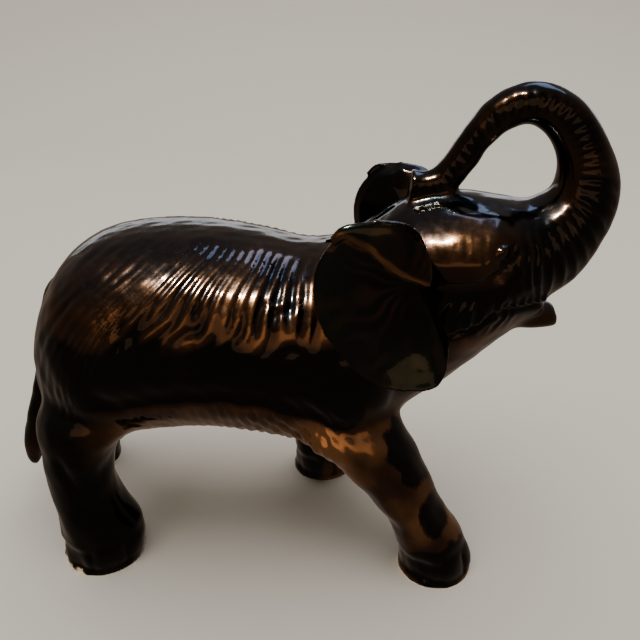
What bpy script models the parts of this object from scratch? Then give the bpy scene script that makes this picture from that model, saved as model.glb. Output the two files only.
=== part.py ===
# A glazed earthenware elephant money bank, in metres, +Z up, head toward +X.
# The castings are built one by one: barrel, four legs, head, trunk, two ears and tail,
# with the slip joints between them left as fine seams, and a soft stopper in the belly.
import bpy
import bmesh
import numpy as np
from math import pi

# Barrel of the body
BODY_LENGTH = 0.170       # rump to neck joint, along the back
BODY_DEPTH = 0.100        # belly line to spine
BODY_WIDTH = 0.102
LEG_LENGTH = 0.063        # ground to belly line
WALL = 0.0045             # thickness of the slip casting
SEAM = 0.0003             # gap left at each joint between castings

# Legs
LEG_RADIUS = 0.0175
LEG_SPLAY = 0.037         # mid-plane to the middle of a sole
HEEL_ROUND = 0.0012       # chamfer around each sole

# Head, trunk, ears, tail
HEAD_LENGTH = 0.064       # nape to the root of the trunk
JAW_LENGTH = 0.058        # throat to chin
HEAD_WIDTH = 0.074
CROWN_RISE = 0.0045       # crown above the nape at the neck joint
THROAT_PINCH = 0.12       # how far the neck joint narrows below
CHIN_RISE = 0.046         # chin above the throat
LIP_LENGTH = 0.024
LIP_RADIUS = 0.0085
TRUNK_ROOT_RADIUS = 0.022
TRUNK_RADIUS = 0.0088     # at the top of the loop
LOOP_LENGTH = 0.059       # front to back, between the trunk's middles
LOOP_HEIGHT = 0.0362      # crown to the trunk's middle at its highest
EAR_HEIGHT = 0.0755
EAR_WIDTH = 0.0525
EAR_THICKNESS = 0.0045
EAR_CUP = 0.007           # depth of the hollow of the ear
EAR_STAND_OFF = 0.0075    # rear edge, further out than the front edge
TAIL_LENGTH = 0.105
TAIL_RADIUS = 0.0048

# Coin slot, along the nape
SLOT_LENGTH = 0.030
SLOT_WIDTH = 0.005
SLOT_BEHIND_NECK = 0.0030

# Stopper and its hole in the belly
STOPPER_AT = 0.53         # share of the body's length, from the rump
STOPPER_RADIUS = 0.0165
STOPPER_LIP = 0.0035      # flange, beyond the plug
STOPPER_LIP_THICKNESS = 0.0024
STOPPER_DEPTH = 0.0095
STOPPER_CLEARANCE = 0.0004
STOPPER_TAB = 0.0032      # finger tab below the flange

RUMP_X = -0.115

# Barrel: share of the length, lean of the section (top behind or before the bottom),
# then top and bottom as shares of the depth above the belly line, and share of the width.
BARREL = (
    (0.000, 0.000, 0.340, 0.240, 0.10),
    (0.012, 0.000, 0.480, 0.110, 0.42),
    (0.045, 0.000, 0.665, 0.020, 0.67),
    (0.098, 0.000, 0.815, -0.030, 0.83),
    (0.160, 0.000, 0.905, -0.040, 0.92),
    (0.240, 0.000, 0.957, -0.030, 0.98),
    (0.350, 0.000, 0.980, 0.008, 1.00),
    (0.490, 0.000, 0.975, 0.030, 1.00),
    (0.630, 0.000, 0.940, -0.005, 0.97),
    (0.750, 0.000, 0.898, -0.060, 0.92),
    (0.860, -0.010, 0.925, -0.100, 0.83),
    (0.942, -0.020, 1.005, -0.055, 0.73),
    (1.015, -0.030, 1.085, 0.100, 0.67),
)
BODY_SQUARENESS = 2.25

# Head: share of its length, top as a share of the crown's rise, bottom as a share of the
# chin's rise, share of the width, and how far the jaw is pinched in below.
HEAD = (
    (0.22, 0.90, 0.21, 0.98, 0.24),
    (0.42, 1.00, 0.42, 0.97, 0.33),
    (0.63, 0.60, 0.65, 0.88, 0.42),
    (0.83, 0.10, 0.86, 0.74, 0.46),
    (0.95, -0.70, 0.94, 0.62, 0.40),
    (1.00, -1.70, 1.04, 0.52, 0.30),
)

# Legs: height as a share of the leg's length, then the middle's distance from the foot,
# forward and outward, and the half sizes as shares of the leg's radius.
FORELEG_BACK = ((1.55, -0.046, -0.017, 1.10, 0.75), (1.19, -0.043, -0.009, 1.48, 1.12),
                (1.00, -0.032, -0.006, 1.28, 1.06), (0.84, -0.0245, -0.004, 1.11, 1.00),
                (0.65, -0.0165, -0.002, 0.96, 0.93), (0.48, -0.0095, -0.001, 0.90, 0.90),
                (0.32, -0.004, 0.000, 0.98, 0.96), (0.13, -0.0005, 0.000, 1.06, 1.04),
                (0.00, 0.000, 0.000, 1.00, 1.00))
FORELEG_FORTH = ((1.55, 0.010, -0.017, 1.05, 0.75), (1.19, 0.010, -0.009, 1.40, 1.10),
                 (0.95, 0.006, -0.005, 1.20, 1.05), (0.70, 0.003, -0.003, 1.02, 0.98),
                 (0.45, 0.001, -0.001, 0.93, 0.93), (0.16, 0.000, 0.000, 1.03, 1.02),
                 (0.00, 0.000, 0.000, 0.98, 0.98))
HINDLEG_FORTH = ((1.65, 0.010, -0.017, 1.15, 0.75), (1.27, 0.002, -0.007, 1.32, 1.16),
                 (1.03, -0.0025, -0.003, 1.03, 1.10), (0.79, -0.0040, -0.001, 0.91, 1.00),
                 (0.55, -0.0030, 0.000, 0.95, 0.97), (0.32, 0.001, 0.000, 1.15, 1.05),
                 (0.13, 0.001, 0.000, 1.22, 1.12), (0.00, 0.000, 0.000, 1.15, 1.06))
HINDLEG_BACK = ((1.65, 0.040, -0.017, 1.15, 0.75), (1.27, 0.029, -0.007, 1.36, 1.14),
                (1.03, 0.020, -0.003, 1.18, 1.10), (0.79, 0.012, -0.001, 1.05, 1.03),
                (0.55, 0.0055, 0.000, 0.96, 0.97), (0.32, 0.002, 0.000, 0.98, 1.05),
                (0.13, 0.000, 0.000, 1.03, 1.12), (0.00, 0.000, 0.000, 1.00, 1.06))
# foot as a share of the body's length from the rump, side, centre line
LEGS = {
    "foreleg_right": (1.121, -1, FORELEG_BACK),
    "foreleg_left": (0.774, 1, FORELEG_FORTH),
    "hindleg_right": (0.144, -1, HINDLEG_FORTH),
    "hindleg_left": (-0.068, 1, HINDLEG_BACK),
}

# Trunk: share of the loop's length behind the foremost middle, share of the loop's height
# above the crown, radius between the root's (1) and the loop's (0)
TRUNK = ((0.56, -0.86, 1.12), (0.26, -0.62, 1.00), (0.055, -0.26, 0.60), (0.00, 0.08, 0.38),
         (0.07, 0.50, 0.15), (0.22, 0.84, 0.06), (0.43, 1.00, 0.00), (0.64, 0.90, -0.06),
         (0.79, 0.64, -0.14), (0.90, 0.36, -0.14), (1.02, 0.12, -0.13), (1.16, 0.05, -0.11),
         (1.27, 0.06, -0.08))

# Ear outline around its root, as shares of the ear's width (forward) and height (up)
EAR = ((-0.30, 0.425), (-0.57, 0.34), (-0.73, 0.15), (-0.70, -0.12), (-0.50, -0.36),
       (-0.28, -0.51), (-0.03, -0.575), (0.20, -0.55), (0.28, -0.42), (0.27, -0.24),
       (0.16, -0.04), (0.09, 0.12), (0.08, 0.24), (-0.04, 0.38))

# Tail: share of its length downward, distance behind the rump's rearmost point, radius
TAIL = ((-0.09, -0.026, 0.90), (-0.02, -0.0095, 1.00), (0.095, -0.0025, 0.95),
        (0.25, 0.0025, 0.92), (0.40, 0.007, 0.92), (0.55, 0.0125, 0.95),
        (0.72, 0.019, 1.10), (0.86, 0.023, 1.25), (0.95, 0.0248, 1.05), (1.00, 0.0253, 0.50))
TAIL_ROOT_HEIGHT = 0.650      # share of the body's depth

GLAZE_BLACK = (0.016, 0.010, 0.008, 1.0)
GLAZE_BROWN = (0.035, 0.018, 0.010, 1.0)
STOPPER_WHITE = (0.62, 0.58, 0.50, 1.0)


def clear_scene():
    for thing in list(bpy.data.objects):
        bpy.data.objects.remove(thing)


def make_material(name, colour, roughness):
    material = bpy.data.materials.new(name)
    material.use_nodes = True
    shader = material.node_tree.nodes["Principled BSDF"]
    shader.inputs["Base Color"].default_value = colour
    shader.inputs["Roughness"].default_value = roughness
    shader.inputs["Metallic"].default_value = 0.0
    material.diffuse_color = colour
    return material


def spline(points, steps):
    # smooth curve through the given rows, "steps" pieces between neighbours
    rows = np.array(points, dtype=float)
    ends = np.vstack([2 * rows[0] - rows[1], rows, 2 * rows[-1] - rows[-2]])
    curve = []
    for before, start, finish, after in zip(ends, ends[1:], ends[2:], ends[3:]):
        for t in np.arange(steps) / steps:
            curve.append(0.5 * (2 * start + (finish - before) * t
                                + (2 * before - 5 * start + 4 * finish - after) * t ** 2
                                + (3 * start - before - 3 * finish + after) * t ** 3))
    curve.append(rows[-1])
    return np.array(curve)


def oval(centre, side, up, half_side, half_up, sides, squareness=2.0):
    # ring of points around a centre, between an ellipse (2) and a rounded box
    angle = 2 * pi * np.arange(sides) / sides
    across = np.sign(np.cos(angle)) * np.abs(np.cos(angle)) ** (2 / squareness)
    rise = np.sign(np.sin(angle)) * np.abs(np.sin(angle)) ** (2 / squareness)
    return (np.array(centre)
            + half_side * np.outer(across, side) + half_up * np.outer(rise, up))


def add_mesh(name, vertices, faces, material=None):
    mesh = bpy.data.meshes.new(name)
    mesh.from_pydata([tuple(v) for v in vertices], [], faces)
    work = bmesh.new()
    work.from_mesh(mesh)
    bmesh.ops.recalc_face_normals(work, faces=work.faces)
    work.to_mesh(mesh)
    work.free()
    thing = bpy.data.objects.new(name, mesh)
    bpy.context.scene.collection.objects.link(thing)
    if material:
        mesh.materials.append(material)
        mesh.shade_smooth()
        mesh.set_sharp_from_angle(angle=0.9)
    return thing


def loft(name, rings, material=None):
    # skin over a row of rings, with a flat cap at each end
    sides = len(rings[0])
    faces = []
    for row in range(len(rings) - 1):
        for k in range(sides):
            nxt = (k + 1) % sides
            faces.append((row * sides + k, row * sides + nxt,
                          (row + 1) * sides + nxt, (row + 1) * sides + k))
    faces.append(tuple(range(sides)))
    faces.append(tuple((len(rings) - 1) * sides + k for k in reversed(range(sides))))
    return add_mesh(name, np.vstack(rings), faces, material)


def cut(thing, cutter, operation="DIFFERENCE"):
    modifier = thing.modifiers.new(cutter.name, "BOOLEAN")
    modifier.operation = operation
    modifier.object = cutter
    modifier.solver = "EXACT"
    cutter.hide_render = True
    cutter.display_type = "WIRE"


# Barrel

def barrel_stations():
    rows = []
    for share, lean, top, bottom, width in BARREL:
        middle = RUMP_X + share * BODY_LENGTH
        rows.append((middle + lean * BODY_DEPTH, LEG_LENGTH + top * BODY_DEPTH,
                     middle - lean * BODY_DEPTH, LEG_LENGTH + bottom * BODY_DEPTH,
                     width * BODY_WIDTH / 2, 0.0))
    rows[-1] = rows[-1][:5] + (THROAT_PINCH,)
    return np.array(rows)


def moved_out(stations, distance):
    # every section moved square to the profile: outward, or inward if negative
    stations = np.array(stations)
    middle = (stations[:, 0] + stations[:, 2]) / 2
    half_up = (stations[:, 1] - stations[:, 3]) / 2
    along = np.gradient(middle)
    outward = np.gradient((half_up + stations[:, 4]) / 2)
    slant = np.hypot(along, outward)
    stations[:, [0, 2]] -= (distance * outward / slant)[:, None]
    stations[:, 1] += distance * along / slant
    stations[:, 3] -= distance * along / slant
    stations[:, 4] += distance * along / slant
    return stations


def section(station, sides):
    # upright oval between a top and a bottom point
    top_x, top_z, bottom_x, bottom_z, half, pinch = station
    up = np.array([top_x - bottom_x, 0.0, top_z - bottom_z]) / 2
    half_up = np.linalg.norm(up)
    centre = ((top_x + bottom_x) / 2, 0.0, (top_z + bottom_z) / 2)
    ring = oval(centre, (0.0, 1.0, 0.0), up / half_up, half, half_up, sides, BODY_SQUARENESS)
    below = np.maximum(0.0, centre[2] - ring[:, 2]) / half_up
    ring[:, 1] *= 1 - pinch * below
    return ring


def shifted(station, distance):
    moved = np.array(station, dtype=float)
    moved[[0, 2]] += distance
    return moved


def barrel_rings(grow, first, sides, steps, past_neck=0.0):
    stations = moved_out(spline(barrel_stations()[first:], steps), grow)
    rings = [section(row, sides) for row in stations]
    if past_neck:
        rings.append(section(shifted(stations[-1], past_neck), sides))
    return rings


def belly_height(x, y):
    # underside of the barrel at a place
    stations = spline(barrel_stations(), 8)
    bottom = np.interp(x, stations[:, 2], stations[:, 3])
    top = np.interp(x, stations[:, 0], stations[:, 1])
    half = np.interp(x, stations[:, 2], stations[:, 4])
    share = (1 - (abs(y) / half) ** BODY_SQUARENESS) ** (1 / BODY_SQUARENESS)
    return (top + bottom) / 2 - share * (top - bottom) / 2


def make_barrel(glaze):
    shell = loft("torso_shell", barrel_rings(0.0, 0, 36, 2), glaze)
    cavity = loft("torso_cavity", barrel_rings(-WALL, 1, 24, 1, past_neck=WALL))
    cut(shell, cavity)
    slot_front = barrel_stations()[-1][0] - SLOT_BEHIND_NECK
    slot_middle = slot_front - SLOT_LENGTH / 2
    cut(shell, make_box("coin_slot_cutter", (slot_middle, 0.0, LEG_LENGTH + BODY_DEPTH),
                        (SLOT_LENGTH, SLOT_WIDTH, BODY_DEPTH)))
    x, seat = stopper_seat()
    hole = STOPPER_RADIUS + STOPPER_CLEARANCE
    recess = hole + STOPPER_LIP
    cut(shell, make_rod("stopper_recess_cutter", x, recess, 0.0, seat, 40))
    cut(shell, make_rod("stopper_hole_cutter", x, hole, 0.0, seat + 4 * WALL, 40))
    return shell


def stopper_seat():
    # flat ring around the hole, as deep as the round belly needs
    x = RUMP_X + STOPPER_AT * BODY_LENGTH
    recess = STOPPER_RADIUS + STOPPER_CLEARANCE + STOPPER_LIP
    return x, belly_height(x, recess) + SEAM


def make_box(name, middle, size):
    corners = [(sx, sy, sz) for sx in (-0.5, 0.5) for sy in (-0.5, 0.5) for sz in (-0.5, 0.5)]
    vertices = np.array(middle) + np.array(corners) * np.array(size)
    faces = [(0, 1, 3, 2), (4, 6, 7, 5), (0, 4, 5, 1), (2, 3, 7, 6), (0, 2, 6, 4), (1, 5, 7, 3)]
    return add_mesh(name, vertices, faces)


def make_rod(name, x, radius, low, high, sides):
    rings = [oval((x, 0.0, z), (1.0, 0.0, 0.0), (0.0, 1.0, 0.0), radius, radius, sides)
             for z in (low, high)]
    return loft(name, rings)


# Stopper: a tapered plug on a thin flange, with a finger tab below

def make_stopper(rubber):
    x, seat = stopper_seat()
    flange_top = -SEAM
    flange = STOPPER_RADIUS + STOPPER_LIP - STOPPER_CLEARANCE
    profile = ((STOPPER_RADIUS * 0.90, flange_top + STOPPER_DEPTH),
               (STOPPER_RADIUS * 0.97, flange_top + STOPPER_DEPTH * 0.9),
               (STOPPER_RADIUS, flange_top + STOPPER_DEPTH * 0.35),
               (STOPPER_RADIUS, flange_top),
               (flange, flange_top),
               (flange, flange_top - STOPPER_LIP_THICKNESS * 0.7),
               (flange - STOPPER_LIP_THICKNESS * 0.3, flange_top - STOPPER_LIP_THICKNESS))
    rings = [oval((0.0, 0.0, z), (1.0, 0.0, 0.0), (0.0, 1.0, 0.0), radius, radius, 40)
             for radius, z in profile]
    stopper = loft("stopper", rings, rubber)
    stopper.location = (x, 0.0, seat)
    tab_top = flange_top - STOPPER_LIP_THICKNESS * 0.5
    tab = make_box("stopper_tab", (x, 0.0, seat + tab_top - STOPPER_TAB / 2),
                   (STOPPER_RADIUS * 1.1, STOPPER_LIP, STOPPER_TAB))
    cut(stopper, tab, "UNION")
    return stopper


# Head

def head_stations():
    neck = barrel_stations()[-1]
    rows = [neck]
    for share, top, bottom, width, pinch in HEAD:
        rows.append((neck[0] + share * HEAD_LENGTH, neck[1] + top * CROWN_RISE,
                     neck[2] + share * JAW_LENGTH, neck[3] + bottom * CHIN_RISE,
                     width * HEAD_WIDTH / 2, pinch))
    return np.array(rows)


def head_rings(grow, sides, steps, before_neck, last=None):
    stations = moved_out(spline(head_stations()[:last], steps), grow)
    stations[0] = shifted(stations[0], before_neck)
    return [section(row, sides) for row in stations]


def lip_rings(grow):
    # lower jaw, tapering forward and a little up to the rounded lip
    face = head_stations()[-1]
    middle = np.array([face[2] - 0.64 * LIP_LENGTH, 0.0, face[3] - 0.9 * LIP_RADIUS])
    rows = ((0.00, 1.00, 1.25, 0.92), (0.35, 0.82, 1.20, 0.92), (0.70, 0.72, 1.00, 0.78),
            (0.90, 0.68, 0.74, 0.62), (1.00, 0.66, 0.34, 0.32))
    rings = []
    for share, rise, wide, tall in spline(rows, 1):
        centre = middle + np.array([share * LIP_LENGTH, 0.0, rise * LIP_RADIUS])
        rings.append(oval(centre, (0.0, 1.0, 0.0), (-0.25, 0.0, 0.97),
                          wide * LIP_RADIUS + grow, tall * LIP_RADIUS + grow, 16))
    return rings


def make_head(glaze):
    head = loft("head_shell", head_rings(0.0, 30, 2, SEAM), glaze)
    cut(head, loft("lower_lip", lip_rings(0.0)), "UNION")
    cut(head, loft("head_cavity", head_rings(-WALL, 20, 1, -WALL, last=-2)))
    return head


def crown_height():
    return head_stations()[:, 1].max()


# Trunk

def trunk_line(steps):
    foremost = head_stations()[-1][0] + 0.56 * TRUNK_ROOT_RADIUS
    crown = crown_height()
    rows = []
    for back, up, thick in spline(TRUNK, steps):
        rows.append((foremost - back * LOOP_LENGTH, crown + up * LOOP_HEIGHT,
                     TRUNK_RADIUS + thick * (TRUNK_ROOT_RADIUS - TRUNK_RADIUS)))
    return np.array(rows)


def make_trunk(glaze):
    line = trunk_line(3)
    ahead = np.gradient(line[:, :2], axis=0)
    ahead /= np.linalg.norm(ahead, axis=1)[:, None]
    rings = []
    for (x, z, radius), (dx, dz) in zip(line, ahead):
        rings.append(oval((x, 0.0, z), (0.0, 1.0, 0.0), (-dz, 0.0, dx), radius, radius, 16))
    return loft("trunk", rings, glaze)


# Ears

def make_ear(name, side, glaze):
    neck = barrel_stations()[-1]
    outline = spline(EAR + EAR[:1], 2)[:-1] * (EAR_WIDTH, EAR_HEIGHT)
    root_x = neck[0] + (0.06 if side < 0 else 0.27) * HEAD_LENGTH
    root_z = neck[1] - 0.33 * EAR_HEIGHT
    root_y = HEAD_WIDTH / 2 + 0.4 * EAR_CUP
    rear = outline[:, 0].min()
    sheets = []
    for thickness, sink in ((0.0, 0.0), (EAR_THICKNESS, 1.0)):
        rings = []
        for scale in (0.25, 0.5, 0.75, 0.9, 1.0):
            edge = scale if thickness == 0.0 else scale * (1 - 0.25 * EAR_THICKNESS / EAR_WIDTH)
            flat = outline * edge
            out = root_y + EAR_STAND_OFF * np.clip(flat[:, 0] / rear, 0, 1)
            out = out + EAR_CUP * scale ** 2 - thickness
            out = out - sink * 0.010 * max(0.0, 1 - scale / 0.5)
            ring = np.column_stack([root_x + flat[:, 0], side * out, root_z + flat[:, 1]])
            rings.append(ring)
        sheets.append(rings)
    front, back = sheets
    return loft(name, front + back[::-1], glaze)


# Legs

def make_leg(name, glaze):
    share, side, line = LEGS[name]
    foot_x = RUMP_X + share * BODY_LENGTH
    rings = []
    for height, forward, outward, long, wide in spline(line, 2):
        centre = (foot_x + forward, side * (LEG_SPLAY + outward), max(height, 0.0) * LEG_LENGTH)
        rings.append(oval(centre, (1.0, 0.0, 0.0), (0.0, side, 0.0),
                          long * LEG_RADIUS, wide * LEG_RADIUS, 20))
    sole = rings.pop()
    middle = sole.mean(axis=0)
    rim = middle + (sole - middle) * (1 - HEEL_ROUND / LEG_RADIUS)
    rings += [sole + (0.0, 0.0, HEEL_ROUND), rim]
    return loft(name, rings, glaze)


# Tail, down the middle of the rump to a free tuft

def make_tail(glaze):
    root = LEG_LENGTH + TAIL_ROOT_HEIGHT * BODY_DEPTH
    line = spline(TAIL, 2)
    middle = np.column_stack([RUMP_X - line[:, 1], root - line[:, 0] * TAIL_LENGTH])
    ahead = np.gradient(middle, axis=0)
    ahead /= np.linalg.norm(ahead, axis=1)[:, None]
    rings = []
    for (x, z), (dx, dz), thick in zip(middle, ahead, line[:, 2]):
        rings.append(oval((x, 0.0, z), (0.0, 1.0, 0.0), (-dz, 0.0, dx),
                          thick * TAIL_RADIUS, thick * TAIL_RADIUS, 10))
    return loft("tail", rings, glaze)


def centre_on_ground(things):
    # middle of the outer box over the origin
    bpy.context.view_layer.update()
    corners = [thing.matrix_world @ vertex.co
               for thing in things for vertex in thing.data.vertices]
    for axis in (0, 1):
        values = [corner[axis] for corner in corners]
        middle = (min(values) + max(values)) / 2
        for thing in bpy.data.objects:
            thing.location[axis] -= middle


def main():
    clear_scene()
    barrel = make_barrel(make_material("glaze_torso", GLAZE_BLACK, 0.12))
    head = make_head(make_material("glaze_head", GLAZE_BLACK, 0.12))
    around_barrel = loft("torso_and_seam", barrel_rings(SEAM, 0, 36, 2, past_neck=SEAM))
    around_head = loft("head_and_seam", head_rings(SEAM, 30, 2, -SEAM))
    around_lip = loft("lip_and_seam", lip_rings(SEAM))
    stopper = make_stopper(make_material("stopper_rubber", STOPPER_WHITE, 0.5))
    trunk = make_trunk(make_material("glaze_trunk", GLAZE_BROWN, 0.12))
    cut(trunk, around_head)
    cut(trunk, around_lip)
    pieces = [barrel, head, stopper, trunk]
    for name, side in (("ear_right", -1), ("ear_left", 1)):
        ear = make_ear(name, side, make_material("glaze_" + name, GLAZE_BROWN, 0.12))
        cut(ear, around_head)
        cut(ear, around_barrel)
        pieces.append(ear)
    for name in LEGS:
        leg = make_leg(name, make_material("glaze_" + name, GLAZE_BLACK, 0.12))
        cut(leg, around_barrel)
        pieces.append(leg)
    tail = make_tail(make_material("glaze_tail", GLAZE_BLACK, 0.12))
    cut(tail, around_barrel)
    pieces.append(tail)
    centre_on_ground(pieces)


main()
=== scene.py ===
# Glazed earthenware elephant money bank, striding, with its trunk curled back over its head.
import bpy
import numpy as np
from math import radians, sin, cos, tan, pi
from mathutils import Matrix, Vector


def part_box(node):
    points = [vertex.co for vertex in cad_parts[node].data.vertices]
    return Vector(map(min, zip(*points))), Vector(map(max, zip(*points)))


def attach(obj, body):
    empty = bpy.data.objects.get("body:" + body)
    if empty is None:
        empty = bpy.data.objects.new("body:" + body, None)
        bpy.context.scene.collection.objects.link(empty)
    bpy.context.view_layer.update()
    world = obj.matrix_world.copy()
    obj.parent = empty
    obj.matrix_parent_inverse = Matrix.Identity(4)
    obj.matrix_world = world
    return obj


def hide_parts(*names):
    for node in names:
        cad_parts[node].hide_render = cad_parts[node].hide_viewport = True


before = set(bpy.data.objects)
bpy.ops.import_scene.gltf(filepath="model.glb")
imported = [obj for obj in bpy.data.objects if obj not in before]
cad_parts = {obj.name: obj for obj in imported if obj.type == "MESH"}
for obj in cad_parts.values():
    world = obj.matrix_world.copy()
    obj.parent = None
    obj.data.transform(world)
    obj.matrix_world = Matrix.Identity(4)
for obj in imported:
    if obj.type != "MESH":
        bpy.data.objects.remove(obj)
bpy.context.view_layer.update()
mm = 0.001
inset = 0.3 * mm      # the skin starts this far inside the castings, to leave room for the relief


def corners(node):
    # lowest and highest corner of a node's box
    low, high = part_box(node)
    return np.array(low), np.array(high)


def ease(low, high, value):
    # 3t^2 - 2t^3, with t from 0 at low to 1 at high
    t = np.clip((value - low) / (high - low), 0, 1)
    return t * t * (3 - 2 * t)


def hump(value, half):
    # e^-(value/half)^2: 1 in the middle, about a third at half
    return np.exp(-(value / half) ** 2)


def ripple(points, size, seed):
    # uneven waves about as long as size: nine sines in random directions, roughly -1 to 1
    rng = np.random.default_rng(seed)
    total = np.zeros(len(points))
    for wave in range(9):
        direction = rng.normal(size=3)
        direction *= 2 * pi / (np.linalg.norm(direction) * size * rng.uniform(0.7, 1.6))
        total += np.sin(points @ direction + rng.uniform(0, 2 * pi))
    return total / 3.2


def through(rows, count):
    # smooth curve through rows: count places on the cubic between each four neighbours
    rows = np.array(rows, float)
    ends = np.vstack([2 * rows[0] - rows[1], rows, 2 * rows[-1] - rows[-2]])
    place = np.linspace(0, len(rows) - 1, count)
    first = np.minimum(place.astype(int), len(rows) - 2)
    t = (place - first)[:, None]
    a, b, c, d = (ends[first + k] for k in range(4))
    return 0.5 * (2 * b + (c - a) * t + (2 * a - 5 * b + 4 * c - d) * t ** 2
                  + (3 * b - a - 3 * c + d) * t ** 3)


def joined(x, y, z):
    # points from their coordinates, any of which may be one number for all
    return np.stack(np.broadcast_arrays(x, y, z), -1)


def rings(middles, side, up, halfSide, halfUp, sides, squareness=2.0):
    # a profile carried along a path: middle + halfSide cos^(2/s) side + halfUp sin^(2/s) up
    angle = np.linspace(0, 2 * pi, sides, endpoint=False)
    across = np.sign(np.cos(angle)) * np.abs(np.cos(angle)) ** (2 / squareness)
    rise = np.sign(np.sin(angle)) * np.abs(np.sin(angle)) ** (2 / squareness)
    side, up = (np.broadcast_to(way, middles.shape) for way in (side, up))
    halfSide, halfUp = (np.broadcast_to(half, len(middles)) for half in (halfSide, halfUp))
    return (middles[:, None, :] + (halfSide[:, None] * across)[..., None] * side[:, None, :]
            + (halfUp[:, None] * rise)[..., None] * up[:, None, :])


def egg(middle, half, turn=0.0):
    # ellipsoid: latitude by longitude, turned about y
    latitude = np.linspace(-0.49 * pi, 0.49 * pi, 24)
    longitude = np.linspace(0, 2 * pi, 40, endpoint=False)
    x = np.outer(np.cos(latitude), np.cos(longitude)) * half[0]
    y = np.outer(np.cos(latitude), np.sin(longitude)) * half[1]
    z = np.outer(np.sin(latitude), np.ones(40)) * half[2]
    return joined(x * cos(turn) + z * sin(turn), y, z * cos(turn) - x * sin(turn)) + middle


def closedMesh(name, grids):
    # each grid's rows are rings; a pole at the middle of the first and last ring closes it
    allPoints, allFaces, start = [], [], 0
    for grid in grids:
        count, sides = grid.shape[:2]
        index = start + np.arange(count * sides).reshape(count, sides)
        ahead = np.roll(index, -1, axis=1)
        quads = np.stack([index[:-1], ahead[:-1], ahead[1:], index[1:]], axis=-1).reshape(-1, 4)
        poles = np.array([grid[0].mean(0), grid[-1].mean(0)])
        south, north = start + count * sides, start + count * sides + 1
        fans = [np.stack([ahead[0], index[0], np.full(sides, south)], -1),
                np.stack([index[-1], ahead[-1], np.full(sides, north)], -1)]
        allPoints += [grid.reshape(-1, 3), poles]
        allFaces += quads.tolist() + fans[0].tolist() + fans[1].tolist()
        start = north + 1
    mesh = bpy.data.meshes.new(name)
    mesh.from_pydata(np.vstack(allPoints).tolist(), [], allFaces)
    thing = bpy.data.objects.new(name, mesh)
    bpy.context.scene.collection.objects.link(thing)
    return thing


def settled(thing):
    # the modifiers' result becomes the piece's own mesh
    graph = bpy.context.evaluated_depsgraph_get()
    mesh = bpy.data.meshes.new_from_object(thing.evaluated_get(graph))
    thing.modifiers.clear()
    thing.data = mesh
    return thing


def numbersOf(items, name, width, kind=np.float32):
    # one row of numbers for each item of a mesh
    flat = np.empty(len(items) * width, kind)
    items.foreach_get(name, flat)
    return flat.reshape(-1, width)


def edgesOf(mesh):
    return numbersOf(mesh.edges, "vertices", 2, np.int32)


def fused(name, grids, voxel):
    # one skin over all the overlapping forms
    thing = closedMesh(name, grids)
    skin = thing.modifiers.new("skin", "REMESH")
    skin.mode = "VOXEL"
    skin.voxel_size = voxel
    settled(thing)
    withoutCrumbs(thing)
    return thing


def pointsOf(mesh):
    return numbersOf(mesh.vertices, "co", 3).astype(float)


def placePoints(mesh, points):
    mesh.vertices.foreach_set("co", points.astype(np.float32).ravel())
    mesh.update()


def normalsOf(mesh):
    return numbersOf(mesh.vertices, "normal", 3).astype(float)


def withoutCrumbs(thing):
    # joined points share the lowest label among them; all but the commonest label is left out
    mesh = thing.data
    one, two = edgesOf(mesh).T
    label, before = np.arange(len(mesh.vertices)), None
    while before is None or (label != before).any():
        before = label.copy()
        lowest = np.minimum(label[one], label[two])
        np.minimum.at(label, one, lowest)
        np.minimum.at(label, two, lowest)
        label = label[label]
    kept = label == np.bincount(label).argmax()
    print(thing.name, "crumbs", int((~kept).sum()))
    if kept.all():
        return
    quads = numbersOf(mesh.loops, "vertex_index", 1, np.int32).reshape(-1, 4)
    quads = (np.cumsum(kept) - 1)[quads[kept[quads[:, 0]]]]
    thing.data = bpy.data.meshes.new(thing.name)
    thing.data.from_pydata(pointsOf(mesh)[kept].tolist(), [], quads.tolist())


def neighbourMean(points, edges):
    # mean of the points joined to each point
    one, two = edges.T
    count = np.bincount(edges.ravel(), minlength=len(points))
    total = [np.bincount(one, points[two, k], len(points))
             + np.bincount(two, points[one, k], len(points)) for k in range(3)]
    return np.stack(total, -1) / count[:, None]


def softened(mesh, rounds, share, fillRounds=0, fill=None):
    # points move a share of the way to their neighbours' mean; filling moves them outward only,
    # which rounds the inner corners where two forms meet
    points = pointsOf(mesh)
    edges = edgesOf(mesh)
    weight = 1.0 if fill is None else fill(points)[:, None]
    for turn in range(fillRounds):
        placePoints(mesh, points)
        normals = normalsOf(mesh)
        pull = np.sum((neighbourMean(points, edges) - points) * normals, -1, keepdims=True)
        points = points + 0.6 * np.clip(pull, 0, None) * normals * weight
    for turn in range(rounds):
        points = points + share * (neighbourMean(points, edges) - points)
    placePoints(mesh, points)


def cutAway(thing, *cutters):
    # takes each closed cutter out of the thing
    for cutter in cutters:
        hole = thing.modifiers.new(cutter.name, "BOOLEAN")
        hole.operation = "DIFFERENCE"
        hole.object = cutter
        hole.solver = "EXACT"
    settled(thing)
    for cutter in cutters:
        bpy.data.objects.remove(cutter)


def keepNumber(thing, name, values):
    # one number at each point, which a material can read
    layer = thing.data.attributes.new(name, "FLOAT", "POINT")
    layer.data.foreach_set("value", values.astype(np.float32))


torsoLow, torsoHigh = corners("torso_shell")
headHigh = corners("head_shell")[1]
trunkHigh = corners("trunk")[1]

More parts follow.
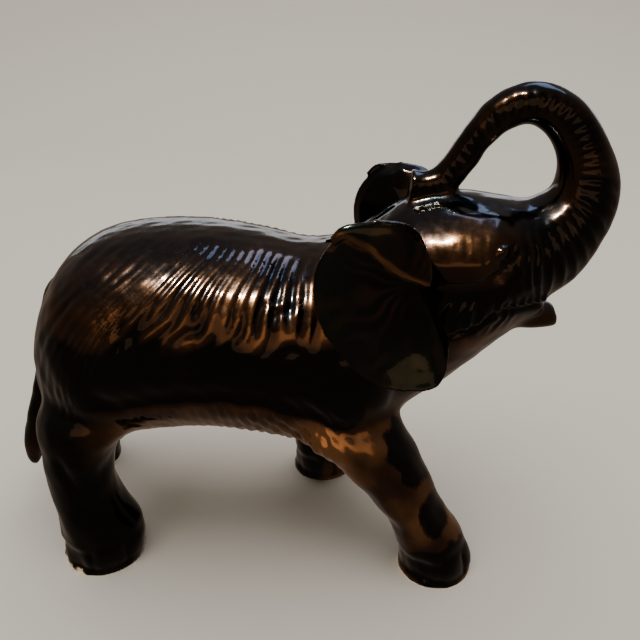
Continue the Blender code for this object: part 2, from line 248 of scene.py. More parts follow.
# barrel and head are one loft from the rump to the face
barrel = {
    # share of length, lean, top and bottom as shares of the depth, share of the width
    "stations": [(0, 0, .34, .24, .10), (.012, 0, .48, .11, .42), (.045, 0, .665, .02, .67),
                 (.098, 0, .815, -.03, .83), (.16, 0, .905, -.04, .92),
                 (.24, 0, .957, -.03, .98), (.35, 0, .98, .008, 1), (.49, 0, .975, .03, 1),
                 (.63, 0, .94, -.005, .97), (.75, 0, .898, -.06, .92),
                 (.86, -.01, .925, -.10, .83), (.942, -.02, 1.005, -.055, .73),
                 (1.015, -.03, 1.085, .10, .67)],
    "squareness": 2.25,
    "wall": 4.5 * mm,
    "belly": 63 * mm,           # ground to the belly line
    "tall": 1.185,              # the box's height in depths: highest top less lowest bottom
    "long": 1.015,              # the box's length in lengths, with the last station's lean
    "lean": 0.03,
}
barrel["depth"] = (torsoHigh[2] - torsoLow[2]) / barrel["tall"]
barrel["length"] = (torsoHigh[0] - torsoLow[0] - barrel["lean"] * barrel["depth"]) / barrel["long"]

head = {
    # share of length, top as a share of the rise, bottom as a share of the chin's rise,
    # share of the width, pinch of the jaw
    "stations": [(.22, .90, .21, .98, .24), (.42, 1, .42, .97, .33), (.63, .60, .65, .88, .42),
                 (.83, .10, .86, .74, .46), (.95, -.70, .94, .62, .40), (1, -1.7, 1.04, .52, .30)],
    "length": 64 * mm, "jaw": 58 * mm, "rise": 4.5 * mm, "chin": 46 * mm,
    "width": 2 * headHigh[1], "neckPinch": 0.12,
}


def profileStations(form, cap, withHead=True):
    # rows of top x, top z, bottom x, bottom z, half width, pinch
    rows = []
    for share, lean, top, bottom, width in form["stations"]:
        middle = torsoLow[0] + share * form["length"]
        rows.append((middle + lean * form["depth"], form["belly"] + top * form["depth"],
                     middle - lean * form["depth"], form["belly"] + bottom * form["depth"],
                     width * torsoHigh[1], 0.0))
    neck = rows[-1] = rows[-1][:5] + (cap["neckPinch"],)
    if withHead:
        for share, top, bottom, width, pinch in cap["stations"]:
            rows.append((neck[0] + share * cap["length"], neck[1] + top * cap["rise"],
                         neck[2] + share * cap["jaw"], neck[3] + bottom * cap["chin"],
                         width * cap["width"] / 2, pinch))
    return np.array(rows)


def loft(stations, grow, sides, squareness):
    # upright ovals between the top line and the bottom line, narrowed below by the pinch
    top, bottom = stations[:, [0, 1]], stations[:, [2, 3]]
    half = (top - bottom) / 2
    long = np.hypot(*half.T)
    middles = joined((top[:, 0] + bottom[:, 0]) / 2, 0, (top[:, 1] + bottom[:, 1]) / 2)
    up = joined(half[:, 0] / long, 0, half[:, 1] / long)
    grid = rings(middles, (0, 1, 0), up, stations[:, 4] + grow, long + grow, sides, squareness)
    below = np.clip(middles[:, None, 2] - grid[..., 2], 0, None) / long[:, None]
    grid[..., 1] *= 1 - stations[:, None, 5] * below
    return grid


stations = profileStations(barrel, head)
bodyLoft = loft(through(stations, 190), -inset, 120, barrel["squareness"])
face = stations[-1]
crown = stations[:, 1].max()

# the trunk's path lies in the middle plane, its radius goes from the root's to the tip's
trunk = {
    # back from the foremost middle, up from the crown, thickness between tip 0 and root 1
    "line": [(.56, -.86, 1.12), (.26, -.62, 1), (.055, -.26, .60), (0, .08, .38),
             (.07, .50, .15), (.22, .84, .06), (.43, 1, 0), (.64, .90, -.06), (.79, .64, -.14),
             (.90, .36, -.14), (1.02, .12, -.13), (1.16, .05, -.11), (1.25, .06, -.06)],
    "loopLength": 59 * mm, "loopHeight": 36.2 * mm,
    "rootRadius": trunkHigh[1], "radius": 8.8 * mm,
    "foremostThickness": 0.38,
    "strokes": 3.6 * mm, "strokeDepth": 0.75 * mm,      # fine ones along the loop
    "rootStrokes": 4.8 * mm, "rootStrokeDepth": 1.0 * mm,
}


def trunkPath(form, count):
    # rows of x, z, radius
    thick = form["radius"] + form["foremostThickness"] * (form["rootRadius"] - form["radius"])
    foremost = trunkHigh[0] - thick - 0.1 * mm
    line = through(form["line"], count)
    return np.stack([foremost - line[:, 0] * form["loopLength"],
                     crown + line[:, 1] * form["loopHeight"] - inset,
                     form["radius"] + line[:, 2] * (form["rootRadius"] - form["radius"])], -1)


def trunkLoft(path):
    # circles square to the path
    ahead = np.gradient(path[:, :2], axis=0)
    ahead /= np.hypot(*ahead.T)[:, None]
    radius = path[:, 2] - inset
    return rings(joined(path[:, 0], 0, path[:, 1]), (0, 1, 0),
                 joined(-ahead[:, 1], 0, ahead[:, 0]), radius, radius, 60)


pathOfTrunk = trunkPath(trunk, 260)

lip = {
    # share of length, rise, half width, half height, in lip radii
    "line": [(0, 1, 1.25, .92), (.35, .82, 1.2, .92), (.7, .72, 1, .78), (.92, .68, .78, .66),
             (1, .66, .60, .50)],
    "length": 24 * mm, "radius": 8.5 * mm,
    "behind": 0.64, "under": 0.9,       # start, in lengths behind and radii under the face's foot
    "up": (-0.25, 0, 0.97),
}


def lipLoft(form):
    # ovals along a line that starts inside the jaw
    line = through(form["line"], 30)
    start = np.array([face[2] - form["behind"] * form["length"], 0,
                      face[3] - form["under"] * form["radius"]])
    middles = start + joined(line[:, 0] * form["length"], 0, line[:, 1] * form["radius"])
    return rings(middles, (0, 1, 0), form["up"], line[:, 2] * form["radius"],
                 line[:, 3] * form["radius"], 48)


legRows = {
    # height in leg lengths, forward, outward, half sizes in leg radii
    "foreBack": [(1.55, -.046, -.017, 1.1, .75), (1.19, -.043, -.009, 1.48, 1.12),
                 (1, -.032, -.006, 1.28, 1.06), (.84, -.0245, -.004, 1.11, 1),
                 (.65, -.0165, -.002, .96, .93), (.48, -.0095, -.001, .90, .90),
                 (.32, -.004, 0, .98, .96), (.13, -.0005, 0, 1.06, 1.04), (0, 0, 0, 1.02, 1.02)],
    "foreForth": [(1.55, .010, -.017, 1.05, .75), (1.19, .010, -.009, 1.4, 1.1),
                  (.95, .006, -.005, 1.2, 1.05), (.7, .003, -.003, 1.02, .98),
                  (.45, .001, -.001, .93, .93), (.16, 0, 0, 1.03, 1.02), (0, 0, 0, 1, 1)],
    "hindForth": [(1.65, .010, -.017, 1.15, .75), (1.27, .002, -.007, 1.32, 1.16),
                  (1.03, -.0025, -.003, 1.03, 1.1), (.79, -.004, -.001, .91, 1),
                  (.55, -.003, 0, .95, .97), (.32, .001, 0, 1.15, 1.05),
                  (.13, .001, 0, 1.22, 1.12), (0, 0, 0, 1.17, 1.08)],
    "hindBack": [(1.65, .040, -.017, 1.15, .75), (1.27, .029, -.007, 1.36, 1.14),
                 (1.03, .020, -.003, 1.18, 1.1), (.79, .012, -.001, 1.05, 1.03),
                 (.55, .0055, 0, .96, .97), (.32, .002, 0, .98, 1.05), (.13, 0, 0, 1.03, 1.12),
                 (0, 0, 0, 1.01, 1.07)],
}
legs = {
    "length": 63 * mm, "radius": 17.3 * mm, "splay": 37 * mm,
    # foot as a share of the body's length from the rump, side, which rows
    "feet": [(1.121, -1, "foreBack"), (.774, 1, "foreForth"), (.144, -1, "hindForth"),
             (-.068, 1, "hindBack")],
}


def legLoft(form, foot):
    # level ovals from inside the body down to the sole
    share, side, rows = foot
    line = through(legRows[rows], 70)
    x = torsoLow[0] + share * barrel["length"] + line[:, 1]
    z = np.clip(line[:, 0], 0, None) * form["length"]
    middles = joined(x, side * (form["splay"] + line[:, 2]), z)
    return rings(middles, (1, 0, 0), (0, side, 0), line[:, 3] * form["radius"],
                 line[:, 4] * form["radius"], 60)


tail = {
    # share of length down, behind the rump, radius
    "line": [(-.09, -.026, .9), (-.02, -.0095, 1), (.095, -.0025, .95), (.25, .0025, .90),
             (.4, .007, .88), (.55, .0125, .9), (.72, .019, 1.12), (.86, .0226, 1.22),
             (.95, .0246, .95), (1, .0253, .4)],
    "length": 105 * mm, "radius": 4.7 * mm, "rootHeight": 0.65,
}


def tailLoft(form):
    # circles square to a line that runs down behind the rump
    line = through(form["line"], 90)
    root = barrel["belly"] + form["rootHeight"] * barrel["depth"]
    x, z = torsoLow[0] - line[:, 1], root - line[:, 0] * form["length"]
    ahead = np.stack([np.gradient(x), np.gradient(z)], -1)
    ahead /= np.hypot(*ahead.T)[:, None]
    radius = line[:, 2] * form["radius"]
    return rings(joined(x, 0, z), (0, 1, 0), joined(-ahead[:, 1], 0, ahead[:, 0]), radius,
                 radius, 30)


# The modelled relief is in metres outward, from where a point is and which way it faces.
flank = {
    # long strokes that fan back from the shoulder
    "spacing": 7.0 * mm, "depth": 1.45 * mm, "bottom": 119 * mm,
    "ahead": 20 * mm, "fan": 110 * mm, "bend": 80 * mm, "level": 95 * mm,
    # short leaf-shaped gouges under them
    "gougeSpacing": 9.5 * mm, "gougeDepth": 1.0 * mm, "gougeLevel": 128 * mm,
    "gougeHalf": 11 * mm,
    # belly band: a wavy upper line, x and z in mm, then fine upright strokes
    "bellyLine": [(-95, 90), (-72, 93), (-48, 98), (-17, 100), (0, 95), (17, 87), (30, 80)],
    "bellySpacing": 4.2 * mm, "bellyDepth": 0.7 * mm, "bellyOut": 0.9 * mm,
    "foldDepth": 0.8 * mm, "foldHalf": 4.5 * mm,
    # strokes into the top of the foreleg, about a middle x and z
    "forelegMiddle": (11 * mm, 80 * mm), "forelegHalf": (20 * mm, 16 * mm),
    "forelegSpacing": 5.2 * mm, "forelegDepth": 1.0 * mm,
}


def strokes(place, depth, seed, sharp=0.75):
    # side by side gouges: -depth sin(pi f)^sharp, each with its own depth; place counts them
    rng = np.random.default_rng(seed)
    own = rng.uniform(0.55, 1.15, 400)
    number = np.floor(place)
    f = place - number
    return -depth * own[number.astype(int) % 400] * np.sin(pi * f) ** sharp


def perStroke(place, seed):
    # one random number, 0 to 1, for each stroke
    values = np.random.default_rng(seed).uniform(0, 1, 400)
    number = np.floor(place).astype(int)
    return values[number % 400]


def foldOf(points):
    # height of the belly band's wavy upper line over each point
    line = np.array(flank["bellyLine"]) * mm
    return np.interp(points[:, 0], *line.T) + 0.0012 * ripple(points, 0.012, 19)


def bandLength(x):
    # 1 between the near end of the haunch and the chest
    return ease(-0.088, -0.072, x) * ease(0.040, 0.020, x)


def beltOf(points):
    # 1 on the belly band, under its wavy line
    fold, z = foldOf(points), points[:, 2]
    return ease(fold, fold - 0.004, z) * bandLength(points[:, 0]) * ease(0.045, 0.056, z)


def flankRelief(points, facing):
    # strokes along curves x = start + lean (z - level)^2 / bend, with more lean to the rear;
    # then gouges, belly band and foreleg strokes, each strokes() inside its own soft outline
    x, y, z = points.T
    side = np.abs(y)
    rise = np.clip(z - flank["level"], 0, None) ** 2 / flank["bend"]
    start = x
    for turn in range(6):
        lean = np.clip(0.1 + 0.9 * (flank["ahead"] - start) / flank["fan"], 0.04, 1.0)
        start = x - lean * rise
    rump = ease(-0.070, -0.095, start)
    place = start / flank["spacing"] * (1 + 0.2 * rump) + 60 + 0.30 * ripple(points, 0.034, 3)
    onBack = ease(0.012, 0.028, side)
    low = flank["bottom"] + 0.014 * (perStroke(place, 5) - 0.3) - 0.05 * rump
    reach = ease(low, low + 0.012, z) * onBack * ease(0.062, 0.050, x)
    uneven = np.clip(0.75 + 0.35 * ripple(points, 0.022, 4), 0.15, 1.2)
    relief = strokes(place, flank["depth"] * uneven * (1 - 0.7 * rump), 7, 1.7) * reach
    gouge = (x - 0.35 * (z - 0.127)) / flank["gougeSpacing"] + 40 + 0.3 * ripple(points, 0.02, 11)
    middle = flank["gougeLevel"] + 0.010 * (perStroke(gouge, 13) - 0.5)
    leaf = np.clip(1 - ((z - middle) / flank["gougeHalf"]) ** 2, 0, 1)
    leaf = leaf * ease(-0.068, -0.058, x) * ease(0.020, 0.008, x)
    relief += strokes(gouge, flank["gougeDepth"], 17, 2.0) * leaf
    belly = (x + 0.15 * (z - 0.08)) / flank["bellySpacing"] + 80 + 0.2 * ripple(points, 0.02, 23)
    depth = flank["bellyDepth"] * (0.25 + 0.75 * ease(-0.050, -0.020, x))
    relief += beltOf(points) * (strokes(belly, depth, 29, 1.6) + flank["bellyOut"])
    over = z - foldOf(points) - 0.003
    relief -= flank["foldDepth"] * hump(over, flank["foldHalf"]) * bandLength(x)
    along = (x - 0.005) * 0.79 + (z - 0.070) * 0.61
    (middleX, middleZ), (halfX, halfZ) = flank["forelegMiddle"], flank["forelegHalf"]
    across = ease(0.018, 0.030, side) * hump(x - middleX, halfX) * hump(z - middleZ, halfZ)
    relief += across * strokes(along / flank["forelegSpacing"] + 50, flank["forelegDepth"], 31, 1.7)
    return relief * ease(0.92, 0.75, np.abs(facing[:, 0]))


# ledge over the cheek: its line is x and z in mm
ledge = {
    "line": [(52, 149), (57, 148), (69, 146.6), (85.6, 147.4), (94.7, 152.8), (99, 157)],
    "out": 3.0 * mm, "under": 2.4 * mm,
    "cheekSpacing": 5.2 * mm, "cheekDepth": 0.9 * mm,
    "browSpacing": 3.5 * mm, "browDepth": 0.8 * mm,
    "fluteSpacing": 4.5 * mm, "fluteDepth": 0.6 * mm,
}
mouth = {
    "line": [(70, 120), (74.5, 122), (85.6, 124.6), (93, 131), (105, 131), (111.6, 130.8),
             (122, 130)],
    "depth": 1.9 * mm, "half": 1.5 * mm, "ridge": 0.9 * mm, "ridgeSpacing": 3.6 * mm,
}
eye = {
    # a bead in an almond hollow
    "x": 93.8 * mm, "z": 158.5 * mm, "long": 1.25, "bead": 0.9 * mm, "beadHalf": 1.7 * mm,
    "hollow": 1.2 * mm, "hollowRadius": 3.1 * mm, "hollowHalf": 1.4 * mm,
}


def headRelief(points, facing):
    # each feature is a height or a row of strokes times the soft outline of its place
    x, y, z = points.T
    side = np.abs(y)
    sideways = ease(0.25, 0.6, np.abs(facing[:, 1]))
    line = np.array(ledge["line"]) * mm
    edge = np.interp(x, *line.T)
    along = ease(0.050, 0.060, x) * ease(0.101, 0.090, x) * sideways
    over = z - edge
    bulge = ease(0.0, 0.0075, over) * ease(0.030, 0.010, over)
    below = ease(0.0012, -0.0008, over) * ease(-0.024, -0.004, over)
    relief = along * (ledge["out"] * bulge - ledge["under"] * below)
    # cheek folds hang from the ledge, temple strokes stand on it
    cheek = ease(0.118, 0.126, z) * ease(0.146, 0.138, z) * ease(0.058, 0.066, x)
    cheek = cheek * ease(0.108, 0.100, x) * sideways
    place = (x - 0.22 * (z - 0.13)) / ledge["cheekSpacing"] + 30 + 0.3 * ripple(points, 0.014, 37)
    relief += cheek * strokes(place, ledge["cheekDepth"], 41)
    brow = hump(x - 0.083, 0.009) * hump(z - 0.1575, 0.006) * sideways
    relief += brow * strokes(x / ledge["browSpacing"] + 20, ledge["browDepth"], 43)
    flutes = ease(0.096, 0.102, x) * ease(0.122, 0.112, x) * ease(0.136, 0.142, z)
    flutes = flutes * ease(0.172, 0.160, z) * sideways
    place = (x + 0.1 * z) / ledge["fluteSpacing"] + 0.2 * ripple(points, 0.01, 47)
    relief += flutes * strokes(place, ledge["fluteDepth"], 53)
    away = np.hypot((x - eye["x"]) / eye["long"], z - eye["z"])
    bead = eye["bead"] * hump(away, eye["beadHalf"])
    hollow = eye["hollow"] * hump(away - eye["hollowRadius"], eye["hollowHalf"])
    relief += sideways * ease(0.0, 0.02, side) * (bead - hollow)
    # mouth: a groove with short ridges above it
    lips = z - np.interp(x, *(np.array(mouth["line"]) * mm).T)
    parted = ease(0.070, 0.078, x) * ease(0.124, 0.120, x)
    relief -= parted * mouth["depth"] * hump(lips, mouth["half"])
    ridges = ease(0.090, 0.095, x) * ease(0.119, 0.116, x) * hump(lips - 0.0035, 0.0026)
    relief += ridges * mouth["ridge"] * np.sin(2 * pi * x / mouth["ridgeSpacing"])
    # crease over the temple
    fold = np.interp(x, [0.057, 0.069, 0.082], [0.173, 0.1755, 0.1735])
    relief -= 0.9 * mm * hump(z - fold, 0.0018) * ease(0.055, 0.060, x) * ease(0.086, 0.080, x) \
        * ease(0.006, 0.010, side)
    return relief * ease(0.050, 0.060, x) * ease(0.050, 0.040, side)


def trunkRelief(points):
    # nearest place on the trunk's path gives distance along it and the height off its middle
    near = np.flatnonzero((points[:, 0] > 0.05) & (points[:, 2] > 0.125))
    relief = np.zeros(len(points))
    here = points[near][:, [0, 2]]
    path = pathOfTrunk[:, :2]
    step = np.hypot(*np.diff(path, axis=0).T)
    length = np.concatenate([[0], np.cumsum(step)])
    gap = np.stack([np.hypot(*(here - place).T) for place in path], -1)
    k = gap.argmin(1)
    ahead = np.gradient(path, axis=0)
    ahead /= np.hypot(*ahead.T)[:, None]
    offset = here - path[k]
    out = (offset * np.stack([-ahead[k, 1], ahead[k, 0]], -1)).sum(-1)
    radius = pathOfTrunk[k, 2]
    along = length[k] + (offset * ahead[k]).sum(-1)
    # outer side is negative out for a path that climbs, then turns back
    height = -out / radius
    far = np.hypot(out, points[near, 1]) / radius
    onTrunk = ease(1.25, 1.1, far) * ease(0.30, 0.5, np.abs(points[near, 1]) / radius)
    loop = ease(0.035, 0.050, along) * ease(0.185, 0.165, along)
    band = hump(height - 0.10 - 0.05 * np.sin(along / 0.012), 0.42)
    slant = along + 0.18 * radius * height
    place = slant / trunk["strokes"] + 20 + 0.12 * ripple(points[near], 0.015, 59)
    fine = strokes(place, trunk["strokeDepth"], 61) * band * loop
    root = ease(0.002, 0.014, along) * ease(0.062, 0.045, along)
    root = root * ease(0.75, 0.45, np.abs(height - 0.15))
    place = (along + 0.35 * radius * height) / trunk["rootStrokes"] + 50
    coarse = strokes(place, trunk["rootStrokeDepth"], 67) * root
    relief[near] = (fine + coarse) * onTrunk
    return relief


feet = {
    "reach": 30 * mm, "nails": 3.6, "firstNail": 0.9, "nailOut": 1.6 * mm, "back": 1.5 * mm,
    "crease": 0.5 * mm, "creaseLevel": 16.5 * mm, "creaseHalf": 2.5 * mm,
    "uneven": 0.35 * mm, "tendon": 1.1 * mm, "tendonHalf": 3 * mm,
}


def legRelief(points):
    # unevenness, toenails as |sin(nails turn)| round the front of each foot, a crease over them
    x, y, z = points.T
    below = ease(0.075, 0.055, z)
    relief = below * feet["uneven"] * (ripple(points, 0.014, 71) - 1)
    for share, side, _ in legs["feet"]:
        dx = x - torsoLow[0] - share * barrel["length"]
        dy = y - side * legs["splay"]
        away, turn = np.hypot(dx, dy), np.arctan2(dy * side, dx)
        onFoot = ease(feet["reach"], feet["reach"] - 0.004, away)
        nails = np.abs(np.sin(feet["nails"] * turn + feet["firstNail"])) ** 0.6
        nails = nails * ease(1.9, 1.3, np.abs(turn))
        toes = onFoot * ease(0.017, 0.012, z) * ease(0.0, 0.003, z)
        relief += toes * (feet["nailOut"] * nails - feet["back"])
        crease = hump(z - feet["creaseLevel"], feet["creaseHalf"]) * ease(1.9, 1.2, np.abs(turn))
        relief -= onFoot * feet["crease"] * crease
    # tendon behind the near hind leg's knee
    tendon = np.interp(z, [0.038, 0.050, 0.055, 0.067], [-0.089, -0.091, -0.093, -0.096])
    relief -= feet["tendon"] * hump(x - tendon, feet["tendonHalf"]) * ease(0.032, 0.040, z) \
        * ease(0.072, 0.064, z) * ease(-0.034, -0.042, y)
    return relief


# a flake knocked off the near hind heel: from one angle about the foot to another, and up
chip = {"from": -168, "to": -112, "height": 2.6 * mm, "deep": 1.1 * mm}


def chipMask(points):
    # 1 inside the flake: a sector of the foot, under an arched and ragged top edge
    x = torsoLow[0] + legs["feet"][2][0] * barrel["length"]
    dx, dy = points[:, 0] - x, points[:, 1] + legs["splay"]
    turn = np.degrees(np.arctan2(dy, dx))
    edge = 6 * ripple(points, 0.005, 73)
    sector = ease(chip["from"], chip["from"] + 5, turn + edge) \
        * ease(chip["to"] + 5, chip["to"], turn + edge)
    arch = np.sin((turn - chip["from"]) / (chip["to"] - chip["from"]) * pi)
    top = chip["height"] * (0.55 + 0.45 * arch)
    top = top + 0.0007 * ripple(points, 0.004, 75)
    return sector * ease(top + 0.0006, top - 0.0003, points[:, 2]) \
        * ease(0.012, 0.015, np.hypot(dx, dy)) * ease(0.030, 0.026, np.hypot(dx, dy))


# painted dark reflections on the near foreleg, in mm: middle x and z, half length, half width, then
# lean
darkReflectionPatches = [(59, 67, 15, 6.5, -0.50), (72, 37, 9, 6.5, -0.5), (31, 95, 13, 9.5, 0.1),
         (77, 11, 11, 20, 0.0)]


def lustreAndReflectionOf(points):
    # 0 black glaze, 1 bronze: a base share, then painted reflections, each place adding bronze
    #                          sheen or taking it away as dark reflection
    x, y, z = points.T
    side = np.abs(y)
    wave = 0.003 * ripple(points, 0.018, 101)
    onBody = ease(0.064, 0.056, x)
    # painted bronze sheen over the upper flank, fainter towards the rump
    share = 0.24 + onBody * 0.42 * ease(0.119, 0.127, z + 0.8 * wave) * ease(0.170, 0.150, z) \
        * (0.45 + 0.55 * ease(-0.085, -0.060, x))
    # painted dark reflection over the lower flank
    share -= onBody * 0.27 * ease(0.080, 0.088, z) * ease(0.126, 0.119, z + wave)
    # painted warm reflection on the belly band
    share += onBody * 0.50 * beltOf(points)
    # painted highlight glow on the temple
    share += 0.35 * hump(x - 0.082, 0.016) * hump(z - 0.166, 0.012) * ease(0.01, 0.02, side)
    # painted warm reflection on the jaw
    share += 0.30 * ease(0.132, 0.122, z) * ease(0.072, 0.084, x) * ease(0.112, 0.104, x)
    # painted dark reflection on the cheek
    share -= 0.25 * ease(0.062, 0.070, x) * ease(0.146, 0.140, z) * ease(0.120, 0.128, z)
    share += 0.18 * ripple(points, 0.030, 103) * ease(0.075, 0.060, z)
    # painted warm reflection down the forelegs; darker low on the hind legs
    foreleg = ease(0.006, 0.022, x) * ease(0.098, 0.082, z + wave)
    share += foreleg * 0.46 - 0.16 * ease(-0.06, -0.075, x) * ease(0.100, 0.080, z)
    edge = np.interp(x, *(np.array(ledge["line"]) * mm).T)
    # painted warm reflection in a strip under the cheek ledge
    share += 0.6 * ease(0.052, 0.060, x) * ease(0.103, 0.094, x) * ease(0.018, 0.024, side) \
        * ease(-0.0095, -0.0075, z - edge + wave / 3) * ease(0.0006, -0.0004, z - edge)
    # painted dark reflections on the near foreleg
    for middleX, middleZ, half, width, lean in darkReflectionPatches:
        dx, dz = x - middleX * mm, z - middleZ * mm
        across, along = dx * cos(lean) - dz * sin(lean), dx * sin(lean) + dz * cos(lean)
        away = np.hypot(across / width, along / half) / mm + 0.16 * ripple(points, 0.008, 105)
        share -= 0.75 * ease(1.08, 0.92, away) * ease(0.0, -0.010, y)
    return share


def keepGlaze(thing, pool, lustreAndReflection, bare, green):
    # at each point: depth of the groove, bronze share with its painted reflections, bareness,
    # greenness
    for name, values in (("pool", pool), ("lustreAndReflection", lustreAndReflection), ("bare", bare), ("green", green)):
        keepNumber(thing, name, values)


def skinRelief(points, facing):
    # all of the relief added up, faded out at the soles
    rim = ease(0.0, 0.004, points[:, 2])
    relief = (flankRelief(points, facing) + headRelief(points, facing) + trunkRelief(points)
              + legRelief(points))
    relief += 0.12 * mm * ripple(points, 0.009, 79) - 0.1 * mm
    return relief * rim


masses = {
    # haunches and shoulders: middle x, y, z, half sizes, turn; both sides
    "haunch": ((-80, 28.5, 103), (23.5, 21.5, 36), -0.12),
    "shoulder": ((31, 25.5, 97), (23, 20.5, 36), 0.16),
}


def massGrids():
    # an egg on each side for each mass
    grids = []
    for (x, y, z), half, turn in masses.values():
        for side in (-1, 1):
            grids.append(egg(np.array([x, side * y, z]) * mm, np.array(half) * mm, turn))
    return grids


# the coin slot along the nape, cut from inside the hollow up through the back
slot = {"length": 30 * mm, "width": 5 * mm, "behindNeck": 3.0 * mm, "low": 125 * mm,
        "high": 185 * mm, "squareness": 12.0}
skinMesh = {"voxel": 1.12 * mm, "fill": 36, "rounds": 3, "triangles": 192000}


def makeSkin():
    # all the forms fused, rounded where they meet, carved, then hollowed and thinned
    grids = [bodyLoft, trunkLoft(pathOfTrunk), lipLoft(lip), tailLoft(tail)]
    grids += [legLoft(legs, foot) for foot in legs["feet"]] + massGrids()
    skin = fused("glazedSkin", grids, skinMesh["voxel"])

    def fillShare(points):
        # less rounding at the trunk's tip and none at the soles
        tip = np.hypot(points[:, 0] - pathOfTrunk[-1, 0], points[:, 2] - pathOfTrunk[-1, 1])
        return (1 - 0.8 * ease(0.024, 0.014, tip)) * ease(0.0, 0.004, points[:, 2])

    softened(skin.data, skinMesh["rounds"], 0.5, skinMesh["fill"], fillShare)
    points, facing = pointsOf(skin.data), normalsOf(skin.data)
    points = points + skinRelief(points, facing)[:, None] * facing
    inward = facing * np.array([1, 1, 0])
    points -= (chip["deep"] * chipMask(points))[:, None] * inward
    points[:, 2] = np.where(points[:, 2] < 0.0009, 0.0, points[:, 2])    # flat soles
    placePoints(skin.data, points)
    print("skin", len(skin.data.polygons), "faces")
    cutAway(skin, *skinCutters())
    thin = skin.modifiers.new("fewer", "DECIMATE")
    before = len(skin.data.loops) - 2 * len(skin.data.polygons)
    thin.ratio = skinMesh["triangles"] / before
    settled(skin)
    points, facing = pointsOf(skin.data), normalsOf(skin.data)
    x, y, z = points.T
    green = 0.45 * ease(-0.096, -0.104, x) * ease(0.085, 0.060, z) * ease(0.008, 0.020, z)
    keepGlaze(skin, np.clip(-skinRelief(points, facing) / (1.2 * mm), 0, 1), lustreAndReflectionOf(points),
              chipMask(points), green * ease(0.012, 0.020, np.abs(y)))
    return skin


def rod(name, x, radius, low, high):
    # an upright round bar in the middle plane
    middles = joined(x, 0, np.linspace(low, high, 3))
    return closedMesh(name, [rings(middles, (1, 0, 0), (0, 1, 0), radius, radius, 72)])


def skinCutters():
    # hollow inside, coin slot along the nape, and the stopper's hole with its shallow recess
    inner = through(profileStations(barrel, head, False)[2:], 50)
    wall = barrel["wall"]
    cavity = loft(inner, -wall, 60, barrel["squareness"])
    front = stations[len(barrel["stations"]) - 1][0] - slot["behindNeck"]
    middles = joined(front - slot["length"] / 2, 0, np.linspace(slot["low"], slot["high"], 3))
    box = rings(middles, (1, 0, 0), (0, 1, 0), slot["length"] / 2, slot["width"] / 2, 48,
                slot["squareness"])
    low, high = corners("stopper")
    plug, top = (low + high) / 2, high[2]
    radius = stopper["radius"] + stopper["clearance"]
    seat = top - stopper["depth"] + stopper["gap"]
    return (closedMesh("hollow", [cavity]), closedMesh("coinSlot", [box]),
            rod("recess", plug[0], radius + stopper["lip"], 0.02, seat),
            rod("hole", plug[0], radius, 0.03, seat + 4 * wall))


stopper = {"radius": 16.5 * mm, "lip": 3.5 * mm, "lipThickness": 2.4 * mm, "depth": 9.5 * mm,
           "clearance": 0.4 * mm, "gap": 0.3 * mm, "voxel": 0.42 * mm}


def makeStopper(form):
    # profile turned about the hole's axis; the tab is a rounded bar under the flange
    low, high = corners("stopper")
    x, y = (low[:2] + high[:2]) / 2
    top = high[2]
    flange = form["radius"] + form["lip"] - form["clearance"]
    seat = top - form["depth"]
    under = seat - form["lipThickness"]
    r = form["radius"]
    profile = [(0.05 * r, top - 2.6 * mm), (0.70 * r, top - 2.6 * mm), (0.78 * r, top - 2.2 * mm),
               (0.82 * r, top - 0.4 * mm), (0.86 * r, top), (0.92 * r, top - 0.3 * mm),
               (0.97 * r, top - 1.2 * mm), (r, top - 3.0 * mm), (r, top - 5.5 * mm),
               (0.965 * r, top - 6.2 * mm), (0.965 * r, seat + 0.8 * mm), (r, seat + 0.1 * mm),
               (flange - 0.4 * mm, seat), (flange, seat - 0.4 * mm), (flange, under + 0.9 * mm),
               (flange - 0.9 * mm, under), (0.80 * flange, under),
               (0.76 * flange, under + 0.7 * mm), (0.72 * flange, under + 0.7 * mm),
               (0.68 * flange, under), (0.05 * r, under)]
    profile = np.array(profile)
    radius = profile[:, 0]
    body = rings(joined(x, y, profile[:, 1]), (1, 0, 0), (0, 1, 0), radius, radius, 96)
    width, thick = r * 1.1 / 2, form["lip"] / 2
    rows = np.array([(under + 0.9 * mm, 1.06, 1.5), (under, 1.0, 1.15), (under - 0.5 * mm, 0.98, 1),
                     (low[2] + 0.9 * mm, 0.95, 0.92), (low[2] + 0.2 * mm, 0.90, 0.72),
                     (low[2], 0.8, 0.4)])
    tab = rings(joined(x, y, rows[:, 0]), (1, 0, 0), (0, 1, 0), rows[:, 1] * width,
                rows[:, 2] * thick, 48, 4.0)
    thing = fused("bellyStopper", [body, tab], form["voxel"])
    softened(thing.data, 2, 0.4)
    return thing


